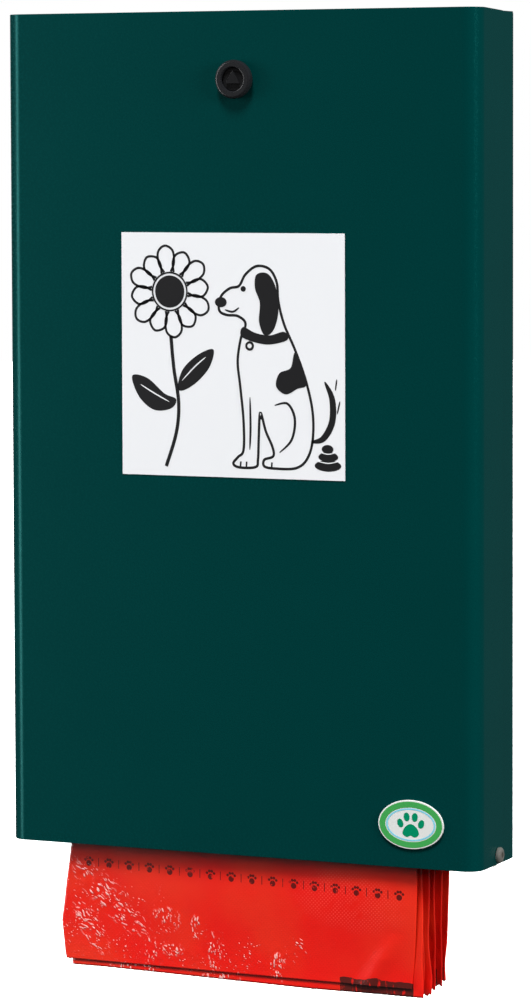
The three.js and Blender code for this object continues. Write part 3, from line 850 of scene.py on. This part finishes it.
def add_camera(stage):
    yaw, pitch, roll = stage.yaw, stage.pitch, stage.roll
    place = Vector(stage.target) - facing(yaw, pitch) * stage.distance
    forward = facing(yaw, pitch - math.atan(stage.fall * SENSOR / stage.lens))
    right = Vector((math.cos(yaw), math.sin(yaw), 0))
    up = right.cross(forward)
    leaned_right = right * math.cos(roll) + up * math.sin(roll)
    leaned_up = up * math.cos(roll) - right * math.sin(roll)
    data = bpy.data.cameras.new("camera")
    data.lens = stage.lens
    data.sensor_width = SENSOR
    data.sensor_fit = "AUTO"
    data.shift_y = -stage.fall
    data.clip_start = 0.1
    data.clip_end = 60
    camera = placed("camera", data)
    turned = Matrix((leaned_right, leaned_up, -forward)).transposed().to_4x4()
    camera.matrix_world = Matrix.Translation(place) @ turned
    bpy.context.scene.camera = camera


def add_floor(stage):
    """A round floor that fades into the pale room, and neither lights nor mirrors in the object."""
    finish = Finish("pale_floor")
    finish.surface(
        Base_Color=finish.mix(finish.noise(0.4, 2), (0.80, 0.80, 0.80), (0.83, 0.83, 0.83)),
        Roughness=0.9,
        Specular_IOR_Level=0.0,
        Emission_Color=(1.0, 1.0, 1.0),
        Emission_Strength=0.93,
    )
    turns = [i * math.tau / FLOOR_SIDES for i in range(FLOOR_SIDES)]
    ring = [
        (FLOOR_RADIUS * math.cos(turn), FLOOR_RADIUS * math.sin(turn), stage.floor_height)
        for turn in turns
    ]
    mesh = bpy.data.meshes.new("floor")
    mesh.from_pydata(ring, [], [tuple(range(FLOOR_SIDES))])
    mesh.materials.append(finish.material)
    floor = placed("floor", mesh)
    floor.visible_diffuse = False
    floor.visible_glossy = False


def sun_light(name, turn, strength, stage):
    """An even soft light that isn't mirrored in the object."""
    data = bpy.data.lights.new(name, "SUN")
    data.energy = strength
    data.angle = stage.key_softness
    light = placed(name, data)
    light.rotation_euler = turn
    light.visible_glossy = False


def area_light(name, place, aim, size, power):
    """A rectangular light that points at aim and isn't seen itself."""
    data = bpy.data.lights.new(name, "AREA")
    data.shape = "RECTANGLE"
    data.size, data.size_y = size
    data.energy = power
    light = placed(name, data)
    light.location = place
    light.rotation_euler = (Vector(aim) - Vector(place)).to_track_quat("-Z", "Y").to_euler()
    light.visible_camera = False
    return light


def add_room(stage):
    """A room that looks white and lights the object only a little."""
    world = bpy.data.worlds.new("pale_room")
    world.use_nodes = True
    tree = world.node_tree
    tree.nodes.clear()
    path = tree.nodes.new("ShaderNodeLightPath")
    blend = tree.nodes.new("ShaderNodeMixShader")
    end = tree.nodes.new("ShaderNodeOutputWorld")
    tree.links.new(path.outputs["Is Camera Ray"], blend.inputs[0])
    for entry, strength in ((1, stage.ambient), (2, 1.0)):
        white = tree.nodes.new("ShaderNodeBackground")
        white.inputs["Color"].default_value = (1, 1, 1, 1)
        white.inputs["Strength"].default_value = strength
        tree.links.new(white.outputs[0], blend.inputs[entry])
    tree.links.new(blend.outputs[0], end.inputs["Surface"])
    bpy.context.scene.world = world


class DISPENSER_OT_casing(bpy.types.Operator):
    """Powder coat on the back tray and the front cover"""

    bl_idname = "dispenser.casing"
    bl_label = "Casing"

    def execute(self, context):
        paint = context.scene.dispenser_paint
        coat = powder_coat(paint)
        for node in ("back_tray", "front_cover"):
            dress(node, coat, paint.edge_radius)
        return {"FINISHED"}


class DISPENSER_OT_lock(bpy.types.Operator):
    """Lacquered lock, its cam, nut and gasket"""

    bl_idname = "dispenser.lock"
    bl_label = "Lock"

    def execute(self, context):
        black = lacquer("black_lacquer", (0.0095, 0.0100, 0.0115), 0.27)
        core = lacquer("core_lacquer", (0.0105, 0.0108, 0.0118), 0.17, 0.005 * MM)
        dress("lock_housing", black, 0.30 * MM)
        dress("lock_spindle", core, 0.28 * MM)
        dress("lock_gasket", moulded("gasket_rubber", (0.02, 0.02, 0.02), 0.8, 0.6 * MM))
        zinc = zinc_plate()
        for node in ("lock_nut", "lock_cam", "cam_washer", "cam_screw"):
            dress(node, zinc, 0.15 * MM)
        return {"FINISHED"}


class DISPENSER_OT_pivots(bpy.types.Operator):
    """Pivot screws, washers, nuts and bushes"""

    bl_idname = "dispenser.pivots"
    bl_label = "Pivots"

    def execute(self, context):
        steel = bright_metal("turned_stainless", (0.56, 0.55, 0.50), 0.34, 0.5 * MM, (1, 1, 1), 0.82)
        zinc = zinc_plate()
        nylon = moulded("natural_nylon", (0.80, 0.78, 0.70), 0.45, 0.8 * MM)
        for side in ("left", "right"):
            dress("pivot_screw_" + side, steel, 0.2 * MM)
            dress("pivot_washer_" + side, steel, 0.1 * MM)
            dress("pivot_nut_" + side, zinc, 0.15 * MM)
            dress("pivot_bush_" + side, nylon, 0.1 * MM)
        return {"FINISHED"}


class DISPENSER_OT_hooks(bpy.types.Operator):
    """Steel hooks that carry the bag packs"""

    bl_idname = "dispenser.hooks"
    bl_label = "Hooks"

    def execute(self, context):
        steel = bright_metal("drawn_hook_steel", (0.60, 0.61, 0.62), 0.30, 0.6 * MM, (1.0, 0.08, 1.0))
        for side in ("left", "right"):
            dress("bag_hook_" + side, steel, 0.2 * MM)
        return {"FINISHED"}


class DISPENSER_OT_headers(bpy.types.Operator):
    """Folded card headers of the packs"""

    bl_idname = "dispenser.headers"
    bl_label = "Headers"

    def execute(self, context):
        board = card()
        for pack in PACKS:
            dress(f"header_card_{pack}", board, 0.2 * MM)
        return {"FINISHED"}


class DISPENSER_OT_label(bpy.types.Operator):
    """White label with a plain flower, dog and heap in line art"""

    bl_idname = "dispenser.label"
    bl_label = "Label"

    def execute(self, context):
        settings = context.scene.dispenser_print
        dress("pictogram_label", vinyl("white_vinyl", (0.695, 0.705, 0.725), 0.42))
        low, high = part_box("pictogram_label")
        art = Print(low, high, settings.ink_step)
        line = settings.stroke / MM
        draw_flower(art, line)
        draw_dog(art, line)
        draw_heap(art)
        black = ink("label_black", (0.010, 0.010, 0.011))
        white = ink("label_white_ink", (0.67, 0.68, 0.70))
        art.piece("label_print", [black, white], "cover", "label_white")
        return {"FINISHED"}


def draw_flower(art, line):
    """A daisy with round petals and a stem with two leaves."""
    centre = np.array((-36.5, 33.5))
    petals = 12
    for i in range(petals):
        angle = i * math.tau / petals + 0.12
        out = np.array((math.cos(angle), math.sin(angle)))
        side = np.array((-out[1], out[0]))
        reach = 24.6 if i % 2 else 22.6
        half = [(10.5, 1.9), (15, 4.4), (reach - 3, 4.3)]
        shape = [(a, -b) for a, b in half] + [(reach, 0)] + half[::-1]
        art.stroke([centre + out * a + side * b for a, b in shape], line * 0.9)
    art.disc(*centre, 8.6, layer=1)
    art.ring(*centre, (10.6, 10.6), (9.7, 9.7), 1, 0)
    art.stroke([(-36.0, 10), (-34.2, -8), (-31.5, -26), (-33, -42), (-39, -60)], line * 1.4)
    art.fill([(-33, -24), (-40, -21), (-50, -13), (-59, -12), (-55, -23), (-46, -30), (-36, -29)])
    art.fill([(-32, -18), (-29, -8), (-20, 0), (-11, 3), (-13, -6), (-20, -14), (-28, -19)])
    art.stroke([(-37, -25.5), (-46, -21), (-54, -16.5)], 0.7, layer=1, colour=1, taper=0.8)
    art.stroke([(-29.5, -14), (-22, -6.5), (-15.5, -1.2)], 0.7, layer=1, colour=1, taper=0.8)


def draw_dog(art, line):
    """A sitting dog seen from the side, with a dark ear, a patch and a collar."""

    def at(*points):
        return [(x * DOG_WIDTH + DOG_SHIFT, z) for x, z in points]

    body = [
        (-13.5, 31), (-8, 35.5), (-2, 37), (2, 43), (9, 47.5), (17, 46), (21.5, 39), (22.5, 29),
        (26, 17), (33, 3), (39.5, -13), (43.5, -29), (43.5, -44), (40, -54), (33, -59), (20, -59.5),
        (13.5, -58.5), (13.5, -55), (19, -53), (18.5, -48), (14.5, -40), (11, -30), (10, -44),
        (9.5, -55), (8, -59), (-2, -59.5), (-6, -57.5), (-3, -54), (0.5, -50), (0.5, -34), (-1.5, -16),
        (-3, -3), (-1, 9), (2, 17), (-3, 21), (-10, 21.5), (-14.5, 24),
    ]
    art.stroke(at(*body), line, closed=True)
    ear = [(9, 43), (16, 43.5), (21, 36), (22.5, 24), (19.5, 14), (14, 11), (10.5, 18), (11, 28), (8, 36)]
    art.fill(at(*ear), 1)
    art.disc(-6.5, 28.2, 3.4, 2.7, layer=1)
    art.disc(6.6, 35.4, 1.5, layer=1)
    art.stroke(at((-11, 24.2), (-6, 23.2), (-2, 25.4)), line * 0.8, taper=0.7)
    collar = [(0.5, 15.2), (8, 12.2), (17, 11), (26, 13), (28, 8.8), (17, 6.2), (7, 7.4), (-0.8, 10.4)]
    art.fill(at(*collar), 1)
    art.disc(10.2, 5.2, 2.5, layer=1)
    art.disc(10.2, 5.2, 1.2, layer=2, colour=1)
    art.fill(at((33, 2), (30, -6), (23, -9), (21, -16), (27, -20), (34, -17), (39.5, -14)), 1)
    art.stroke(at((20, -26), (28, -25), (32.5, -33), (30.5, -44), (23, -51)), line, taper=0.6)
    art.stroke(at((4.6, -22), (4.9, -38), (4.4, -50)), line * 0.85, taper=0.7)
    art.stroke(at((42.5, -45), (50, -43), (55.5, -34), (55.5, -22), (51, -13)), line * 2.6, taper=0.85)
    toes = ((-1.5, -59, -1.2), (2.2, -59.2, 2.4), (18, -59.2, 18.2))
    for foot_x, foot_z, tip_x in toes:
        art.stroke(at((foot_x, foot_z), (tip_x, -56.3)), line * 0.7)
    # two marks beside the wagging tail
    for foot, tip in (((58.6, -30), (60.4, -23)), ((57.6, -17.5), (58.4, -11.5))):
        art.stroke(at(foot, tip), line * 0.6, taper=0.8)


def draw_heap(art):
    """A small heap of three rounded lumps."""
    art.disc(55.2, -57.3, 7.6, 3.0, sides=28)
    art.disc(55.4, -52.6, 5.6, 2.6, layer=1, sides=28)
    art.disc(55.0, -48.5, 3.3, 2.3, layer=2, sides=24)
    art.stroke([(49.2, -54.9), (55.2, -55.9), (61.0, -54.9)], 0.55, layer=3, colour=1, taper=0.6)
    art.stroke([(51.2, -50.3), (55.3, -51.1), (59.2, -50.3)], 0.55, layer=3, colour=1, taper=0.6)


class DISPENSER_OT_badge(bpy.types.Operator):
    """Oval badge with a plain paw print"""

    bl_idname = "dispenser.badge"
    bl_label = "Badge"

    def execute(self, context):
        settings = context.scene.dispenser_print
        finish = Finish("badge_pale")
        tone = finish.noise(9 * MM, 2)
        pale = finish.surface(
            Base_Color=finish.mix(tone, (0.58, 0.59, 0.57), (0.65, 0.65, 0.64)),
            Roughness=0.22 + tone * 0.06,
            Coat_Weight=0.5,
            Coat_Roughness=0.06,
        )
        dress("oval_badge", pale, 0.3 * MM)
        low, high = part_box("oval_badge")
        art = Print(low, high, settings.ink_step)
        art.ring(0, 0, (17.7, 12.2), (14.4, 9.1), 0, 0, 72)
        art.ring(0, 0, (13.9, 8.7), (13.0, 7.9), 0, 1, 72)
        pad = [
            (0, 0.4), (3.4, -1.6), (4.6, -4.8), (2.4, -6.6), (0, -5.8), (-2.4, -6.6), (-4.6, -4.8),
            (-3.4, -1.6),
        ]
        art.fill(pad, 0, 2)
        for toe_x, toe_z, turn in ((-5.9, 0.6, 0.35), (-2.3, 4.0, 0.1), (2.3, 4.0, -0.1), (5.9, 0.6, -0.35)):
            art.disc(toe_x, toe_z, 1.65, 2.35, 0, 2, turn, 24)
        green = ink("badge_green", (0.044, 0.30, 0.070), 0.25)
        blue = ink("badge_blue", (0.18, 0.50, 0.62), 0.25)
        teal = ink("badge_teal", (0.0, 0.205, 0.095), 0.25)
        art.piece("badge_print", [green, blue, teal], "cover", "badge")
        return {"FINISHED"}


class DISPENSER_OT_bag_packs(bpy.types.Operator):
    """Bags of the five packs, two sheets of film for each"""

    bl_idname = "dispenser.bag_packs"
    bl_label = "Bag packs"

    def execute(self, context):
        bags = context.scene.dispenser_bags
        plain = bag_film(bags, "red_film_plain", False)
        # this film carries print and painted highlights: pale colour on its small creases
        print_and_painted_glints = bag_film(bags, "red_film_print_and_painted_glints", True)
        for pack in PACKS:
            low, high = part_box(f"bag_film_{pack}")
            for place, side in ((-1, "front"), (1, "rear")):
                shown = pack == FRONT_PACK and place < 0
                piece = film_piece(
                    f"bags_{pack}_{side}",
                    pack_plan(bags, pack, place, low, high),
                    print_and_painted_glints if shown else plain,
                    f"bag_pack_{pack}",
                )
                if place < 0:
                    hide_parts(f"bag_film_{pack}")
                declare_film(piece)
        return {"FINISHED"}


def pack_plan(bags, pack, place, low, high):
    """Columns, rows, outline and depth for one sheet of a pack."""
    seed = pack * 10 + place
    half = (high.x - low.x) / 2
    middle = (low.y + high.y) / 2
    behind = FRONT_PACK - pack
    front_pack = behind == 0
    # shares across and down, and the steps between them: closer where creases show
    columns = spread([-1, -0.9, 0.8, 1], [8, 90 if front_pack else 44, 26])
    rows = spread([0, 0.76, 0.97, 1], [48, 52 if front_pack else 34, 12])
    lean = (1.2 - 1.1 * behind + 0.9 * place) * MM
    end = low.z + 1.6 * MM if front_pack else low.z - (1.2 - 0.6 * behind) * MM
    tooth = 0.12 if front_pack else 1.0
    narrower = 0 if place < 0 else 2.2 * MM
    outline = film_outline(half - narrower, high.z - 1 * MM, end, bags, seed + 20, lean, 1.6 * MM, tooth)

    def depth(x, z):
        loose = sinking(z, 60, 220)
        wave = (smooth_noise(x, z * 0.25, 34 * MM, pack) - 0.5) * 2
        own = (smooth_noise(x, z, 12 * MM, seed + 50) - 0.5) * 0.7 * MM
        small = creases(x, z, 5 * MM, seed + 70) * bags.crinkle_depth * sinking(z, CASE_BOTTOM, 60)
        if front_pack:
            shift = np.abs(wave) * 0.6 * bags.wave_depth * loose * (place > 0)
            pressed = 0.65 * MM * sinking(z, -245, 35) * (place < 0)
            return middle + place * 0.75 * MM - pressed + shift + small * 0.4
        return middle + place * 0.6 * MM + (wave * bags.wave_depth + own) * loose + small

    return {
        "columns": columns,
        "rows": rows,
        "outline": outline,
        "depth": depth,
        "thickness": bags.thickness,
    }


def declare_film(piece):
    """Gives a piece its own copy of its mesh."""
    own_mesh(piece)


class DISPENSER_OT_front_bag(bpy.types.Operator):
    """The first bag, with its crinkled lower end that carries print and painted highlights"""

    bl_idname = "dispenser.front_bag"
    bl_label = "Front bag"

    def execute(self, context):
        bags = context.scene.dispenser_bags
        low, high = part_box("front_bag")
        half = (high.x - low.x) / 2
        # this film carries print and painted highlights: pale colour on its small creases
        material = bag_film(bags, "red_film_front", True)

        def outline(across, up):
            z_plain = high.z + (low.z - high.z) * up
            near_end = sinking(z_plain, -226, 67)
            bulge = np.interp(near_end, [0, 0.35, 0.67, 0.95, 1], [0.6, 3.9, 7.0, 5.2, 4.4]) * MM
            left = -(half + bulge)
            right = half - 1.0 * MM - 3.6 * MM * near_end ** 2
            share = (across + 1) / 2
            x = left + (right - left) * share
            tooth = cut_teeth(x, 2.4 * MM, 0.35 * MM)
            slope = (x + half) * -0.006 + 3.9 * MM
            return x, z_plain + (tooth + slope) * np.clip((up - 0.8) / 0.2, 0, 1) - 0.9 * MM * (up > 0.9)

        def depth(x, z):
            return high.y - bags.thickness - front_relief(x, z, bags)

        plan = {
            "columns": spread([-1, 1], [260]),
            "rows": spread([0, 0.78, 1], [50, 116]),
            "outline": outline,
            "depth": depth,
            "thickness": bags.thickness,
        }
        piece = film_piece("first_bag_film", plan, material, "first_bag")
        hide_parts("front_bag")
        declare_film(piece)
        return {"FINISHED"}


def front_relief(x, z, bags):
    """How far the front bag's film stands forward of its plane: never behind it."""
    loose = sinking(z, 40, 240)
    wave = smooth_noise(x, z * 0.3, 46 * MM, 5) * bags.wave_depth * 0.8
    rough = np.zeros_like(x)
    for spot in CRINKLED:
        rough = np.maximum(rough, spot_mask(x, z, *spot))
    fine = creases(x, z, 2.6 * MM, 11) * 0.4 + creases(x, z, 5.5 * MM, 12) * 0.6 - 0.5
    faint = 0.12 * sinking(z, -228, 30)
    crinkle = (0.5 + fine * np.maximum(rough ** 1.5, faint)) * bags.crinkle_depth
    fold_x = (x - 84 * MM) - (z + 270 * MM) * 0.55
    fold = np.exp(-(fold_x / (6.0 * MM)) ** 2) * 0.8 * MM * sinking(z, -262, 14)
    dent = (1 + np.tanh((x + 96 * MM + (z + 232 * MM) * 1.1) / (9 * MM))) * 0.30 * MM
    share = sinking(z, -238, 50)
    settled = 1 - share * share * (3 - 2 * share) * 0.95
    return (wave + dent) * loose * settled + fold + crinkle * (0.4 + 0.6 * settled)


class DISPENSER_PT_panel(bpy.types.Panel):
    """Lists the dispenser's settings and steps"""

    bl_idname = "DISPENSER_PT_panel"
    bl_label = "Dispenser"
    bl_space_type = "VIEW_3D"
    bl_region_type = "UI"
    bl_category = "Dispenser"

    def draw(self, context):
        column = self.layout.column()
        for operator in OPERATORS:
            column.operator(operator.bl_idname)
        for group in SETTINGS:
            settings = getattr(context.scene, group)
            for name in settings.bl_rna.properties.keys():
                if name not in ("rna_type", "name"):
                    column.prop(settings, name)


# --- registration


SETTINGS = {
    "dispenser_stage": DispenserStage,
    "dispenser_paint": DispenserPaint,
    "dispenser_bags": DispenserBags,
    "dispenser_print": DispenserPrint,
}
OPERATORS = (
    DISPENSER_OT_stage,
    DISPENSER_OT_casing,
    DISPENSER_OT_lock,
    DISPENSER_OT_pivots,
    DISPENSER_OT_hooks,
    DISPENSER_OT_headers,
    DISPENSER_OT_label,
    DISPENSER_OT_badge,
    DISPENSER_OT_bag_packs,
    DISPENSER_OT_front_bag,
)


def register():
    for group in SETTINGS.values():
        bpy.utils.register_class(group)
    for operator in OPERATORS:
        bpy.utils.register_class(operator)
    bpy.utils.register_class(DISPENSER_PT_panel)
    for name, group in SETTINGS.items():
        setattr(bpy.types.Scene, name, PointerProperty(type=group))


def unregister():
    for name in SETTINGS:
        delattr(bpy.types.Scene, name)
    bpy.utils.unregister_class(DISPENSER_PT_panel)
    for operator in reversed(OPERATORS):
        bpy.utils.unregister_class(operator)
    for group in reversed(SETTINGS.values()):
        bpy.utils.unregister_class(group)


def main():
    register()
    bpy.ops.dispenser.stage()
    bpy.ops.dispenser.casing()
    bpy.ops.dispenser.lock()
    bpy.ops.dispenser.pivots()
    bpy.ops.dispenser.hooks()
    bpy.ops.dispenser.headers()
    bpy.ops.dispenser.label()
    bpy.ops.dispenser.badge()
    bpy.ops.dispenser.bag_packs()
    bpy.ops.dispenser.front_bag()


if __name__ == "__main__":
    main()
